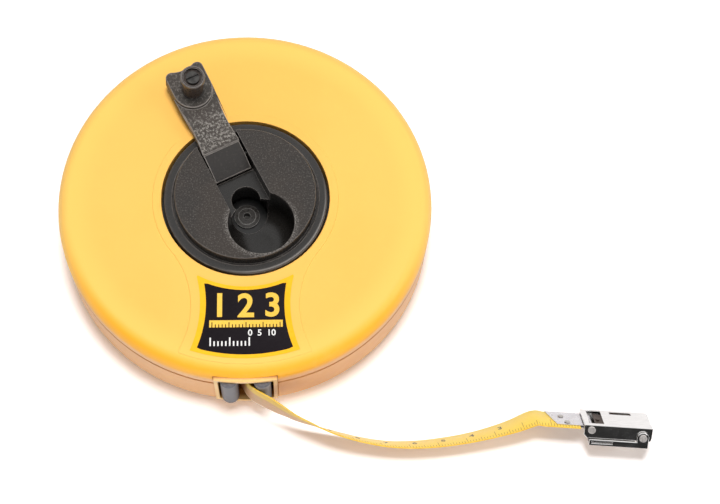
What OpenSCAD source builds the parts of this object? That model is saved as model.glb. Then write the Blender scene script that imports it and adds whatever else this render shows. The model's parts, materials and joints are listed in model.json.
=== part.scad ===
// Long surveyor's tape on a crank reel: a round two-part case, a winding disc with a
// fold-out crank, 20 m of glass-fibre tape on a flanged reel, two guide rollers at the
// mouth and a folding metal hook on the tape's end.
// Millimetres. Origin at the centre of the case's back face, +Z up through the disc,
// the mouth at -Y. The case lies on its back face and the hook end lies beside it.

/* [Case] */
// Outside radius of the case
case_r = 65; // [64.8:0.1:66]
// Height of the case, back face to front face
case_h = 30; // [29.8:0.1:31]
// Thickness of the case's round wall
case_wall = 2.3; // [2.1:0.1:2.4]
// Thickness of the flat back wall
back_t = 2; // [1.6:0.1:2.4]
// Thickness of the flat front wall
front_t = 2; // [1.6:0.1:2.2]
// Rounding of the front edge
front_round = 4.3; // [3:0.1:5]
// Rounding of the back edge
back_round = 4.6; // [3:0.1:5]
// Height of the parting line above the back face
split_z = 20; // [18:0.5:21]
// Height of the shadow groove along the parting line
groove_h = 1.2; // [0.6:0.1:2]
// Depth of the shadow groove
groove_d = 0.5; // [0.2:0.1:0.8]
// Height of the inner lip that centres the front half
lip_h = 1.5; // [0.8:0.1:2]
// Thickness of the inner lip
lip_t = 0.9; // [0.6:0.1:1.1]
// Play between the two halves at the lip
lip_gap = 0.1; // [0.05:0.05:0.2]
// Step of the raised panel around the disc and the label
panel_t = 0.35; // [0.2:0.05:0.6]
// Width of the raised panel around the disc opening
panel_rim = 3; // [2:0.5:4]
// Thickness of the label plate
label_t = 0.2; // [0.15:0.05:0.4]
// Half width of the raised panel at its waist
panel_waist = 18.3; // [17.5:0.1:18.5]
// Distance of the waist inside the case radius
waist_in = 25; // [24:0.5:26]
// Radius of the hollow sides of the label
waist_r = 42; // [40:0.5:44]
// Play between the panel's foot and the rounded front edge
panel_foot = 0.3; // [0.2:0.1:1]
// Width of panel left beside the label's field
label_side = 5.1; // [4.9:0.1:5.6]
// Width of panel left above and below the label's field
label_rim = 3.2; // [3:0.1:3.6]
// Width of panel between the disc opening and the label's field
label_neck = 5.2; // [5:0.1:6]
// Width of the border around the label's field
label_border = 2; // [1.5:0.1:2]

/* [Case screws] */
// Number of screws that hold the halves together
screw_n = 5; // [4:1:6]
// Radius of a screw boss
boss_r = 2.2; // [2.1:0.05:2.25]
// Radius of a screw shank
screw_r = 0.9; // [0.7:0.05:1]
// Radius of a screw head
screw_head_r = 1.7; // [1.5:0.05:1.7]
// Height of a screw head
screw_head_h = 1.4; // [1:0.1:1.6]
// Depth of a screw head below the back face
screw_sunk = 0.8; // [0.6:0.1:1]
// Thread length of a screw inside the front half
screw_grip = 5; // [3:0.5:6]

/* [Reel and tape] */
// Length of the tape in millimetres
tape_len = 20000; // [15000:100:20200]
// Width of the tape
tape_w = 12; // [11.5:0.1:12.4]
// Thickness of the tape
tape_t = 0.4; // [0.3:0.02:0.4]
// Height of the tape's middle above the back face
tape_z = 16.4; // [16:0.1:16.6]
// Outside radius of the reel's hub
hub_r = 27; // [26.8:0.1:27.6]
// Wall of the hub
hub_wall = 1.6; // [1.2:0.1:1.6]
// Thickness of a reel flange
flange_t = 1.4; // [1:0.1:1.6]
// Play between the tape and a flange
flange_play = 0.3; // [0.2:0.05:0.4]
// Distance of the wound tape inside the edge of the flanges
coil_in = 0.87; // [0.5:0.01:2]
// Play between the flanges and the screw bosses
flange_gap = 0.5; // [0.3:0.05:0.6]
// Radius of the fixed post that carries the reel
post_r = 3.85; // [3.4:0.05:4]
// Running play between the post and the reel's sleeve
run_play = 0.05; // [0.03:0.01:0.1]
// Outside radius of the reel's sleeve
sleeve_r = 7; // [6:0.1:7.1]
// Thickness of the thrust washer under the sleeve
washer_t = 1; // [0.6:0.1:1.4]
// Axial play of the sleeve between washer and plug
axial_play = 0.15; // [0.1:0.05:0.3]
// Flange radius of the retaining plug
plug_r = 4.5; // [4.4:0.05:5]
// Stem radius of the retaining plug
plug_stem_r = 1.9; // [1.7:0.1:2.2]
// Radius of the raised ring on the plug
plug_ring_r = 3.1; // [2.6:0.1:3.4]
// Radius of the hole in the plug
plug_hole_r = 1.3; // [1:0.1:1.5]
// Length of the plug's stem in the post
plug_len = 7; // [5:0.5:8]

/* [Winding disc] */
// Outside radius of the disc's rim
rim_r = 28.3; // [28:0.1:28.6]
// Gap between the rim and the case opening
rim_gap = 0.9; // [0.5:0.1:1]
// Height of the rim's top above the case front
rim_up = 0.4; // [0.2:0.1:0.6]
// Inside radius of the rim, at the groove
rim_in_r = 25.2; // [24.9:0.1:25.6]
// Depth of the groove inside the rim
rim_groove = 1; // [0.6:0.1:1.4]
// Radius of the raised middle
hill_r = 24.4; // [24.2:0.1:24.7]
// Height of the raised middle above the case front
hill_up = 4.2; // [4.1:0.1:4.4]
// Wall of the disc moulding
disc_t = 1.6; // [1.4:0.1:1.8]
// Turn of the crank from +Y towards -X, in degrees
crank_turn = 26.2; // [0:0.1:50]
// Width of the channel that takes the folded crank
slot_w = 15; // [14.8:0.1:15.4]
// Depth of the channel
slot_depth = 6.5; // [6.3:0.1:6.8]
// Radius of the bowl that takes the folded knob
bowl_r = 11.4; // [11.3:0.1:11.6]
// Distance of the bowl's centre from the disc's axis
bowl_out = 12.3; // [12.1:0.1:12.5]
// Rounding of the bowl's bottom
bowl_round = 8; // [5:0.5:9]
// Height of the bowl's bottom above the back face
bowl_z = 14.5; // [14:0.1:15]
// Radius of the hole in the channel floor over the post
eye_r = 5; // [4.5:0.1:5.5]
// Radius of the well around the post
well_r = 7.5; // [7.3:0.1:8]
// Distance of the disc screws from the axis
disc_screw_out = 19; // [18.5:0.5:19.5]
// Radius of a disc screw's shank
disc_screw_r = 1.1; // [0.9:0.1:1.2]
// Radius of a disc screw's head
disc_head_r = 2.6; // [2:0.1:3]
// Height of a disc screw's head
disc_head_h = 1.6; // [1:0.1:2]
// Length of a disc screw above the reel's flange
disc_screw_len = 8; // [6:0.5:8]

/* [Crank] */
// Distance of the hinge from the disc's axis
hinge_out = 14.6; // [14.4:0.1:15]
// Depth of the hinge axis below the top of the raised middle
hinge_down = 2.7; // [2.5:0.1:2.7]
// Radius of the hinge pin
hinge_r = 0.6; // [0.5:0.05:0.65]
// Rise of the open crank above level, in degrees
crank_rise = 9.3; // [9.2:0.1:11]
// Length of the arm from the hinge to its end
arm_len = 36.5; // [35.5:0.1:36.5]
// Width of the arm
arm_w = 14; // [13:0.1:14]
// Height of the arm's upper face over the hinge axis, crank open
arm_top = 1.75; // [1.6:0.05:1.8]
// Play below the arm's flat face when it is folded flush
flush_play = 0.1; // [0:0.05:0.3]
// Length of the heel behind the hinge
heel_len = 5.4; // [4.5:0.1:5.6]
// Step from the arm's face down to the hinge leaf
leaf_step = 0.7; // [0.2:0.05:0.75]
// Length of the hinge leaf in front of the hinge
leaf_len = 4.8; // [4:0.1:6]
// Depth of the waist in the arm's sides
arm_waist = 0.6; // [0.2:0.1:0.8]
// Radius of the waist in the arm's sides
arm_side_r = 60; // [50:1:80]
// Radius of the hollow in the arm's end
arm_end_r = 10; // [9:0.5:14]
// Depth of the hollow in the arm's end
arm_hollow = 1; // [0.6:0.1:1]
// Play between the open arm and the disc under it
arm_play = 0.1; // [0.05:0.05:0.2]
// Height of the pad at the end of the arm
pad_h = 2; // [1.5:0.1:2.4]
// Rounding of the arm's end corners
arm_corner = 2; // [1.5:0.1:2.5]
// Distance of the knob from the hinge
knob_out = 28; // [27.5:0.1:28.5]

/* [Knob] */
// Height of the knob
knob_h = 12; // [10:0.1:12.2]
// Radius of the knob's base
knob_base_r = 3.8; // [3.6:0.1:4.2]
// Radius of the knob's top
knob_top_r = 4.2; // [4.1:0.1:4.6]
// Radius of the knob screw's shank
knob_screw_r = 1.2; // [1:0.1:1.4]
// Radius of the well in the knob's top
knob_well_r = 3.2; // [3:0.1:3.4]
// Depth of the knob screw's head below the knob's top
knob_sunk = 0.5; // [0.2:0.1:0.8]
// Radius of the knob screw's head
knob_head_r = 2.3; // [2:0.1:2.7]
// Height of the knob screw's head
knob_head_h = 1.1; // [0.8:0.1:1.4]
// Grip of the knob screw in the arm
knob_grip = 4; // [3:0.1:5]

/* [Mouth] */
// Width of the mouth frame
mouth_w = 21.4; // [21.2:0.1:22.4]
// Rim of the mouth frame at its sides
mouth_rim = 1.4; // [1.2:0.1:1.5]
// How far the frame stands out of the case wall
mouth_out = 0.9; // [0.5:0.1:1.2]
// Height of the frame's underside above the back face
mouth_z = 4.9; // [4.7:0.1:5]
// Height of the frame
mouth_h = 22.5; // [22.4:0.1:22.6]
// Thickness of the frame's sill and head
mouth_bar = 1.5; // [1.3:0.1:1.6]
// Play around the frame in the case
mouth_gap = 0.1; // [0.05:0.05:0.15]
// Radius of a guide roller
roller_r = 3; // [2.9:0.05:3.05]
// Distance between the rollers' axes
roller_gap = 11.2; // [11.1:0.1:11.3]
// Distance of the rollers' axes inside the case radius
roller_in = 0.7; // [0.6:0.05:0.8]
// Radius of a roller pin
roller_pin_r = 0.7; // [0.5:0.05:0.8]
// Play above and below a roller
roller_play = 0.3; // [0.2:0.05:0.4]
// Depth of a roller pin's ends in the frame's sill and head
pin_seat = 1; // [0.6:0.1:1.2]

/* [Hook] */
// Roll of the tape's end and the hook, in degrees
hook_roll = -50.6; // [-51:0.2:-49.4]
// Heading of the hook from +X, in degrees
hook_head = -4.6; // [-5:0.2:-4.2]
// Length of the hook body
hook_len = 23.4; // [22.8:0.1:23.8]
// Width of the hook body
hook_w = 13.4; // [13:0.1:14]
// Height of the hook body's sides
hook_h = 4.9; // [4.7:0.1:5]
// Sheet thickness of the hook
hook_t = 0.8; // [0.6:0.05:0.8]
// Height of the hook's top above its pin
hook_up = 1.8; // [1.7:0.05:1.9]
// Radius of the hook's two pins
hook_pin_r = 0.5; // [0.4:0.05:0.6]
// Radius of the pins' heads
hook_head_r = 1.3; // [1.1:0.1:1.4]
// Sheet thickness of the tape's end plate
tip_sheet = 0.3; // [0.2:0.05:0.3]
// Distance of the claw's pin from the tape's pin
claw_out = 17.6; // [17.4:0.1:17.8]
// Depth of the claw's pin below the tape's pin
claw_down = 1.5; // [1.4:0.1:1.6]
// Sheet thickness of the claw
claw_t = 0.7; // [0.5:0.05:0.75]
// Gap between the hook's sides and the claw's floor
claw_drop = 1.4; // [1:0.1:1.4]
// Radius of the claw's ears
claw_ear_r = 2; // [1.8:0.1:2.1]
// Radius of the rivets through the end plate
tip_rivet_r = 0.6; // [0.4:0.05:0.7]
// Play between the claw and the hook body
claw_gap = 0.25; // [0.2:0.05:0.3]

/* [Hidden] */

$fn = 96;
eps = 0.02;
case_in_r = case_r - case_wall;
boss_out = case_in_r - boss_r + 0.3;
flange_r = boss_out - boss_r - flange_gap;
coil_r = flange_r - coil_in;
wind_pitch = PI * (coil_r * coil_r - hub_r * hub_r) / tape_len;
tape_lo = tape_z - tape_w / 2;
tape_hi = tape_z + tape_w / 2;
low_flange_z = tape_lo - flange_play - flange_t;
high_flange_z = tape_hi + flange_play;
disc_foot_z = high_flange_z + flange_t;
post_top_z = low_flange_z + flange_t + 2;
opening_r = rim_r + rim_gap;
hill_z = case_h + hill_up;
rim_z = case_h + rim_up;
groove_z = rim_z - rim_groove;
slot_z = hill_z - slot_depth;
hinge_z = hill_z - hinge_down;
arm_low = hinge_down - flush_play;
pocket_r = norm([heel_len, arm_low]) + 0.4;
boss_foot_z = low_flange_z + flange_t + 0.15;
roller_out = case_r - roller_in;
mouth_in_r = case_in_r - 1.2;
sill_z = mouth_z + mouth_bar;
lintel_z = mouth_z + mouth_h - mouth_bar;
panel_r = opening_r + panel_rim;
panel_foot_r = case_r - front_round - panel_foot;
flare_r = (panel_waist * panel_waist + (case_r - waist_in) * (case_r - waist_in)
    - panel_r * panel_r) / (2 * (panel_r - panel_waist));
pad_top = arm_top + pad_h;
knob_head_z = knob_h - knob_sunk - knob_head_h;
lip_z = split_z + lip_h;
hook_left = -2.6;
claw_low = hook_up - hook_h - claw_drop;

// Place of the pin that joins the tip plate to the hook
hook_at = [117.75, -76.3, 9.6];
// Route of the free tape: x, y, z of its middle and the lean of its width in degrees,
// 90 when it stands on edge. Its last stretch runs straight into the tip plate.
lead = [[-25.3, -51.9, 16.4, 90], [-18, -55.2, 16.4, 90], [-11, -57.6, 16.4, 90],
    [-6.5, -58.9, 16.5, 89], [-3.2, -60.4, 16.6, 87.5], [-1, -62.7, 16.6, 86.5],
    [0.7, -65.2, 16.6, 85.5], [2.7, -67.1, 16.5, 85], [5.6, -68.8, 16.2, 85],
    [8.2, -70.2, 15.8, 86], [10.9, -71.7, 15.2, 88], [13.6, -73.1, 14.5, 92],
    [17.2, -74.8, 13.5, 96.5], [21.9, -76.5, 12.2, 101], [27, -78.2, 10.8, 107],
    [33.4, -79.9, 9.2, 110.3], [40.8, -81.4, 7.7, 111.8], [49, -82.4, 6.4, 113.7],
    [58, -82.5, 5.8, 115.8], [67, -81.8, 5.7, 117.6], [76.2, -80.5, 6, 119],
    [84.5, -78.8, 6.9, 121.4], [91.5, -77, 8, 124.8]];
route = concat(lead, [for (x = [-19.2, -15.4, -9.5, -3.6]) [hook_at.x + x * cos(hook_head),
    hook_at.y + x * sin(hook_head), hook_at.z, 180 + hook_roll]]);

// Catmull-Rom point between route points i and i + 1
function rp(i) = route[max(0, min(len(route) - 1, i))];
function spline(i, t) = 0.5 * (2 * rp(i) + (rp(i + 1) - rp(i - 1)) * t
    + (2 * rp(i - 1) - 5 * rp(i) + 4 * rp(i + 1) - rp(i + 2)) * t * t
    + (3 * rp(i) - 3 * rp(i + 1) + rp(i + 2) - rp(i - 1)) * t * t * t);
function arc(c, r, a0, a1, n) =
    [for (i = [0 : n]) c + r * [cos(a0 + (a1 - a0) * i / n), sin(a0 + (a1 - a0) * i / n)]];

// ---- outlines ----

// Half section of the whole case with its rounded edges
module case_section(inset = 0) {
    difference() {
        union() {
            translate([0, inset]) square([case_r - back_round, case_h - 2 * inset]);
            translate([0, inset]) square([case_r - front_round, case_h - 2 * inset]);
            translate([0, back_round])
                square([case_r - inset, case_h - back_round - front_round]);
            translate([case_r - back_round, back_round]) circle(back_round - inset);
            translate([case_r - front_round, case_h - front_round])
                circle(front_round - inset);
        }
        translate([-2 * case_r, -case_h]) square([2 * case_r, 3 * case_h]);
    }
}

// Raised panel: a ring around the opening whose sides run smoothly into a waisted field
module panel_outline() {
    side_c = [panel_waist + flare_r, waist_in - case_r];
    start = atan2(-side_c.y, -side_c.x);
    right = [for (p = arc(side_c, flare_r, start, start + 78, 28)) if (norm(p) < panel_foot_r) p];
    foot_half = asin(right[len(right) - 1].x / panel_foot_r);
    foot = arc([0, 0], panel_foot_r, -90 + foot_half, -90 - foot_half, 16);
    left = [for (i = [len(right) - 1 : -1 : 0]) [-right[i].x, right[i].y]];
    circle(panel_r);
    polygon(concat(right, foot, left));
}

// Label field between two arcs about the axis with hollow sides
module label_outline(grow = 0) {
    side_c = [panel_waist - label_side + grow + waist_r, waist_in * 1.02 - case_r];
    top_r = opening_r + label_neck - grow * 0.65;
    foot_r = panel_foot_r - label_rim + grow * 0.65;
    side = [for (p = arc(side_c, waist_r, 164, 206, 20))
        if (norm(p) > top_r && norm(p) < foot_r) p];
    n = len(side) - 1;
    top_a = atan2(side[0].y, side[0].x);
    foot_a = atan2(side[n].y, side[n].x);
    left = [for (i = [n : -1 : 0]) [-side[i].x, side[i].y]];
    top_arc = arc([0, 0], top_r, -180 - top_a, top_a, 16);
    foot_arc = arc([0, 0], foot_r, foot_a, -180 - foot_a, 16);
    polygon(concat(side, foot_arc, left, top_arc));
}

module at_screws() {
    for (i = [0 : screw_n - 1])
        rotate([0, 0, -90 + (i + 0.5) * 360 / screw_n]) translate([boss_out, 0, 0]) children();
}

module at_rollers(side) {
    translate([side * roller_gap / 2, -roller_out, 0]) children();
}

// Ring of rectangular section
module ring(r_in, r_out, z, h) {
    difference() {
        translate([0, 0, z]) cylinder(r = r_out, h = h);
        translate([0, 0, z - 1]) cylinder(r = r_in, h = h + 2);
    }
}

module mouth_cut() {
    half = mouth_w / 2 + mouth_gap;
    translate([-half, -case_r - 5, mouth_z - mouth_gap])
        cube([2 * half, case_r + 5 - mouth_in_r + 2, mouth_h + 2 * mouth_gap]);
}

// ---- case ----

module rear_case() {
    color("#f5c04a") difference() {
        union() {
            rotate_extrude() difference() {
                case_section();
                translate([0, back_t]) square([case_in_r, case_h]);
                translate([0, split_z]) square([2 * case_r, case_h]);
            }
            ring(case_in_r, case_in_r + lip_t, split_z - 1, lip_h + 1);
            ring(40, 41.6, back_t - eps, low_flange_z - 0.3 - back_t + eps);
            cylinder(r = post_r, h = post_top_z);
            at_screws() cylinder(r = boss_r, h = split_z);
        }
        translate([0, 0, post_top_z - plug_len - 1]) cylinder(r = plug_stem_r, h = plug_len + 2);
        at_screws() {
            translate([0, 0, -1]) cylinder(r = screw_r + 0.05, h = split_z + 2);
            translate([0, 0, -1]) cylinder(r = screw_head_r + 0.1, h = screw_sunk + screw_head_h + 1);
        }
        mouth_cut();
    }
}

module front_case() {
    color("#fdd269") difference() {
        union() {
            rotate_extrude() difference() {
                case_section();
                square([case_in_r, case_h - front_t]);
                square([2 * case_r, split_z]);
                square([opening_r, 2 * case_h]);
                translate([case_r - groove_d, split_z - 1]) square([5, groove_h + 1]);
            }
            translate([0, 0, case_h - 0.5]) linear_extrude(0.5 + panel_t) difference() {
                panel_outline();
                circle(opening_r);
            }
            ring(opening_r, opening_r + 1.4, disc_foot_z + 0.4, case_h - 1 - disc_foot_z - 0.4);
            at_screws() translate([0, 0, split_z]) cylinder(r = boss_r, h = case_h - split_z - 1);
        }
        ring(case_in_r - lip_gap, case_in_r + lip_t + lip_gap, split_z - 1, lip_h + lip_gap + 1);
        at_screws() translate([0, 0, split_z - 1]) cylinder(r = screw_r + 0.02, h = screw_grip + 2);
        mouth_cut();
    }
}

module case_screws() {
    color("#8a8a8c") at_screws() translate([0, 0, screw_sunk]) difference() {
        union() {
            cylinder(r = screw_head_r, h = screw_head_h);
            cylinder(r = screw_r, h = split_z + screw_grip - screw_sunk);
        }
        for (a = [0, 90]) rotate([0, 0, a])
            translate([-1.1, -0.2, -1]) cube([2.2, 0.4, 1.7]);
    }
}

module label_plate() {
    color("#221f22") translate([0, 0, case_h + panel_t]) linear_extrude(label_t)
        label_outline(label_border);
}

// ---- mouth ----

module mouth_frame() {
    in_w = mouth_w - 2 * mouth_rim;
    color("#f7cf7a") difference() {
        intersection() {
            ring(mouth_in_r, case_r + mouth_out, mouth_z, mouth_h);
            translate([-mouth_w / 2, -case_r - 5, 0]) cube([mouth_w, case_r, case_h]);
        }
        translate([-in_w / 2, -case_r - 5, sill_z]) cube([in_w, case_r, lintel_z - sill_z]);
        for (s = [-1, 1]) at_rollers(s) translate([0, 0, sill_z - pin_seat])
            cylinder(r = roller_pin_r + 0.01, h = lintel_z - sill_z + 2 * pin_seat);
    }
}

module roller_pins() {
    color("#b8b8ba") for (s = [-1, 1]) at_rollers(s)
        translate([0, 0, sill_z - pin_seat + 0.02])
            cylinder(r = roller_pin_r, h = lintel_z - sill_z + 2 * pin_seat - 0.04);
}

module guide_roller(side) {
    h = lintel_z - sill_z - 2 * roller_play;
    edge = 0.4;
    color("#87878a") at_rollers(side) translate([0, 0, sill_z + roller_play])
        rotate_extrude() polygon([[roller_pin_r + run_play, 0], [roller_r - edge, 0],
            [roller_r, edge], [roller_r, h - edge], [roller_r - edge, h],
            [roller_pin_r + run_play, h]]);
}

module guide_roller_left() { guide_roller(-1); }

module guide_roller_right() { guide_roller(1); }

// ---- reel ----

module thrust_washer() {
    color("#d8d8d0") ring(post_r + run_play, sleeve_r - 0.2, back_t, washer_t);
}

module retaining_plug() {
    hole_d = 3;
    color("#4a4a4a") difference() {
        union() {
            translate([0, 0, post_top_z]) cylinder(r = plug_r, h = 0.8);
            translate([0, 0, post_top_z]) cylinder(r = plug_ring_r, h = 1.1);
            translate([0, 0, post_top_z - plug_len])
                cylinder(r = plug_stem_r - 0.02, h = plug_len + 0.5);
        }
        translate([0, 0, post_top_z + 1.1 - hole_d]) cylinder(r = plug_hole_r, h = hole_d + 1);
    }
}

module at_disc_screws() {
    for (a = [0, 105, 255]) rotate([0, 0, crank_turn + 90 + a])
        translate([disc_screw_out, 0, 0]) children();
}

module reel_hub() {
    color("#30302e") difference() {
        union() {
            translate([0, 0, low_flange_z]) cylinder(r = flange_r, h = flange_t);
            ring(hub_r - hub_wall, hub_r, low_flange_z, high_flange_z - low_flange_z);
            translate([0, 0, back_t + washer_t + axial_play])
                cylinder(r = sleeve_r, h = post_top_z - back_t - washer_t - 2 * axial_play);
        }
        cylinder(r = post_r + run_play, h = case_h);
        at_disc_screws() cylinder(r = disc_screw_r + 0.15, h = case_h);
    }
}

module reel_flange() {
    color("#30302e") ring(hub_r - hub_wall, flange_r, high_flange_z, flange_t);
}

module tape_coil() {
    turn = [for (a = [0 : 3 : 357]) (coil_r - wind_pitch * a / 360) * [cos(a - 90), sin(a - 90)]];
    color("#e8c84a") translate([0, 0, tape_lo]) linear_extrude(tape_w) difference() {
        polygon(turn);
        circle(hub_r + run_play);
    }
}

module tape_anchor_pin() {
    pin_r = 0.8;
    color("#b8b8ba") rotate([0, 0, crank_turn])
        translate([hub_r - hub_wall - pin_r - run_play, 0, low_flange_z + flange_t])
            cylinder(r = pin_r, h = tape_w);
}

// ---- winding disc, drawn with the crank along +Y ----

// Bowl solid, grown by a wall
module bowl_body(grow, top) {
    r = bowl_r + grow;
    edge = bowl_round + grow;
    translate([0, -bowl_out, bowl_z - grow]) rotate_extrude() intersection() {
        union() {
            square([r - edge, edge]);
            translate([0, edge]) square([r, top - bowl_z + grow - edge]);
            translate([r - edge, edge]) circle(edge);
        }
        square([r, top - bowl_z + grow]);
    }
}

// Channel solid, grown by a wall, from the bowl to the rim
module slot_body(grow, top) {
    half = slot_w / 2 + grow;
    translate([-half, -bowl_out, slot_z - grow])
        cube([2 * half, bowl_out + rim_in_r + grow, top - slot_z + grow]);
}

// Pocket under the hinge that the crank's heel swings through
module pocket_body(grow) {
    half = slot_w / 2 + grow;
    translate([-half, hinge_out, hinge_z]) rotate([0, 90, 0])
        cylinder(r = pocket_r + grow, h = 2 * half);
}

module winding_disc() {
    color("#4b4642") rotate([0, 0, crank_turn]) difference() {
        union() {
            rotate_extrude() disc_section();
            intersection() {
                union() {
                    bowl_body(disc_t - 0.2, hill_z);
                    slot_body(disc_t, hill_z);
                    pocket_body(disc_t);
                    translate([0, 0, boss_foot_z + 2]) cylinder(r = well_r + disc_t - 0.2,
                        h = slot_z - boss_foot_z - 2);
                }
                union() {
                    cylinder(r = rim_in_r - 0.05, h = groove_z);
                    cylinder(r = hill_r, h = hill_z);
                }
            }
            for (a = [0, 105, 255]) rotate([0, 0, 90 + a]) translate([disc_screw_out, 0, boss_foot_z])
                cylinder(r = 2.4, h = hill_z - 1 - boss_foot_z);
        }
        bowl_body(0, hill_z + 1);
        intersection() {
            slot_body(0, hill_z + 1);
            cylinder(r = rim_in_r, h = 2 * case_h);
        }
        intersection() {
            pocket_body(0);
            cylinder(r = rim_in_r - disc_t, h = 2 * case_h);
        }
        translate([0, 0, boss_foot_z + 1]) cylinder(r = well_r, h = slot_z - disc_t - boss_foot_z - 1);
        cylinder(r = eye_r, h = hill_z);
        translate([-slot_w, hinge_out, hinge_z]) rotate([0, 90, 0])
            cylinder(r = hinge_r + 0.02, h = 2 * slot_w);
        translate([-arm_w / 2 - arm_play, hinge_out, hinge_z]) rotate([crank_rise, 0, 0])
            translate([0, leaf_len, -arm_low - arm_play])
                cube([arm_w + 2 * arm_play, arm_len, arm_low + arm_top]);
        for (a = [0, 105, 255]) rotate([0, 0, 90 + a]) translate([disc_screw_out, 0, 0])
            cylinder(r = disc_screw_r + 0.02, h = boss_foot_z + disc_screw_len + 1);
    }
}

// Half section of the disc: raised middle, groove, rim and skirt
module disc_section() {
    soft = 0.5;
    polygon([[0, hill_z - disc_t], [0, hill_z], [hill_r - soft, hill_z],
        [hill_r - soft * 0.3, hill_z - soft * 0.3], [hill_r, hill_z - soft], [hill_r, groove_z],
        [rim_in_r, groove_z], [rim_in_r, rim_z - soft * 0.6], [rim_in_r + soft * 0.6, rim_z],
        [rim_r - soft * 1.6, rim_z], [rim_r - soft * 0.5, rim_z - soft * 0.5],
        [rim_r, rim_z - soft * 1.6], [rim_r, disc_foot_z], [rim_r - disc_t, disc_foot_z],
        [rim_r - disc_t, groove_z - disc_t], [hill_r - disc_t, groove_z - disc_t],
        [hill_r - disc_t, hill_z - disc_t]]);
}

module disc_screws() {
    color("#8a8a8c") at_disc_screws() difference() {
        union() {
            translate([0, 0, low_flange_z - disc_head_h]) cylinder(r = disc_head_r, h = disc_head_h);
            translate([0, 0, low_flange_z - 1]) cylinder(r = disc_screw_r, h = flange_t + disc_screw_len);
        }
        for (a = [0, 90]) rotate([0, 0, a])
            translate([-1.6, -0.3, low_flange_z - disc_head_h - 1]) cube([3.2, 0.6, 1.9]);
    }
}

// ---- crank, drawn open: y outwards along the arm from the hinge, z up ----

module at_hinge(rise = 0) {
    rotate([0, 0, crank_turn]) translate([0, hinge_out, hinge_z]) rotate([rise, 0, 0]) children();
}

module crank_hinge_pin() {
    len = slot_w + 2 * disc_t - 0.4;
    color("#b8b8ba") at_hinge() rotate([0, 90, 0]) cylinder(r = hinge_r, h = len, center = true);
}

// Plan of the arm's outer part: rounded corners, a hollow end and waisted sides
module arm_plan(from) {
    half = arm_w / 2;
    difference() {
        union() {
            translate([-half, from]) square([arm_w, arm_len - arm_corner - from]);
            translate([-half + arm_corner, from]) square([arm_w - 2 * arm_corner, arm_len - from]);
            for (s = [-1, 1]) translate([s * (half - arm_corner), arm_len - arm_corner])
                circle(arm_corner);
        }
        translate([0, arm_len + arm_end_r - arm_hollow]) circle(arm_end_r);
        for (s = [-1, 1]) translate([s * (half + arm_side_r - arm_waist), knob_out / 2])
            circle(arm_side_r);
    }
}

module crank_arm() {
    leaf = arm_top - leaf_step;
    half = arm_w / 2;
    color("#6e6c69") at_hinge(crank_rise) difference() {
        union() {
            translate([0, 0, -arm_low]) linear_extrude(arm_low + arm_top) arm_plan(leaf_len);
            translate([0, 0, arm_top - eps]) linear_extrude(pad_h + eps) intersection() {
                arm_plan(leaf_len);
                union() {
                    translate([0, knob_out]) circle(half);
                    translate([-half, knob_out]) square([arm_w, arm_len]);
                }
            }
            translate([half - 0.2, 0, 0]) rotate([0, -90, 0])
                linear_extrude(arm_w - 0.4) polygon([[-arm_low, leaf_len + 1], [leaf, leaf_len + 1],
                    [leaf, 0], [-arm_low + 1.6, -heel_len], [-arm_low, -heel_len]]);
        }
        rotate([0, 90, 0]) cylinder(r = hinge_r + run_play, h = 2 * arm_w, center = true);
        translate([0, knob_out, pad_top - knob_grip]) cylinder(r = knob_screw_r + 0.02, h = 20);
    }
}

module at_knob() {
    at_hinge(crank_rise) translate([0, knob_out, pad_top]) children();
}

module crank_knob() {
    seat = 0.1;
    color("#3a3532") at_knob() rotate_extrude() polygon([
        [knob_screw_r + run_play, seat], [knob_base_r - 0.3, seat], [knob_base_r, seat + 0.3],
        [knob_base_r, seat + 0.9], [knob_base_r - 0.2, knob_h * 0.3],
        [knob_base_r - 0.2, knob_h * 0.5], [knob_base_r, knob_h * 0.7],
        [knob_top_r - 0.1, knob_h - 2], [knob_top_r, knob_h - 1.3], [knob_top_r, knob_h - 0.5],
        [knob_top_r - 0.1, knob_h - 0.2], [knob_top_r - 0.4, knob_h], [knob_well_r, knob_h],
        [knob_well_r, knob_head_z - 0.05], [knob_screw_r + run_play, knob_head_z - 0.05]]);
}

module knob_screw() {
    color("#6c6a68") at_knob() difference() {
        union() {
            translate([0, 0, knob_head_z]) cylinder(r = knob_head_r, h = knob_head_h);
            translate([0, 0, 0.1 - knob_grip])
                cylinder(r = knob_screw_r, h = knob_head_z + knob_grip + 0.2);
        }
        translate([-4, -0.35, knob_head_z + knob_head_h - 0.6]) cube([8, 0.7, 2]);
    }
}

// ---- free tape ----

module tape_strip() {
    steps = 3;
    count = (len(route) - 1) * steps;
    function at(k) = k >= count ? route[len(route) - 1]
        : spline(floor(k / steps), (k % steps) / steps);
    function xyz(q) = [q.x, q.y, q.z];
    function ring4(k) = let (q = at(k), d = xyz(at(min(k + 1, count))) - xyz(at(max(k - 1, 0))),
        l = norm(d), across = [-d.y, d.x, 0] / norm([d.x, d.y]),
        up = cross(d / l, across), wide = (across * cos(q[3]) + up * sin(q[3])) * tape_w / 2,
        thick = (across * sin(q[3]) - up * cos(q[3])) * tape_t / 2)
        [xyz(q) - wide - thick, xyz(q) + wide - thick, xyz(q) + wide + thick, xyz(q) - wide + thick];
    points = [for (k = [0 : count]) each ring4(k)];
    sides = [for (k = [0 : count - 1], j = [0 : 3]) let (a = 4 * k + j, b = 4 * k + (j + 1) % 4)
        each [[a, b, b + 4], [a, b + 4, a + 4]]];
    last = 4 * count;
    color("#f4d85c") polyhedron(points, concat([[0, 3, 2], [0, 2, 1]], sides,
        [[last, last + 1, last + 2], [last, last + 2, last + 3]]));
}

// ---- tip and hook: x along the tape, z square to its face, origin at the hook's pin ----

module at_hook() {
    translate(hook_at) rotate([0, 0, hook_head]) rotate([hook_roll, 0, 0]) children();
}

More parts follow.
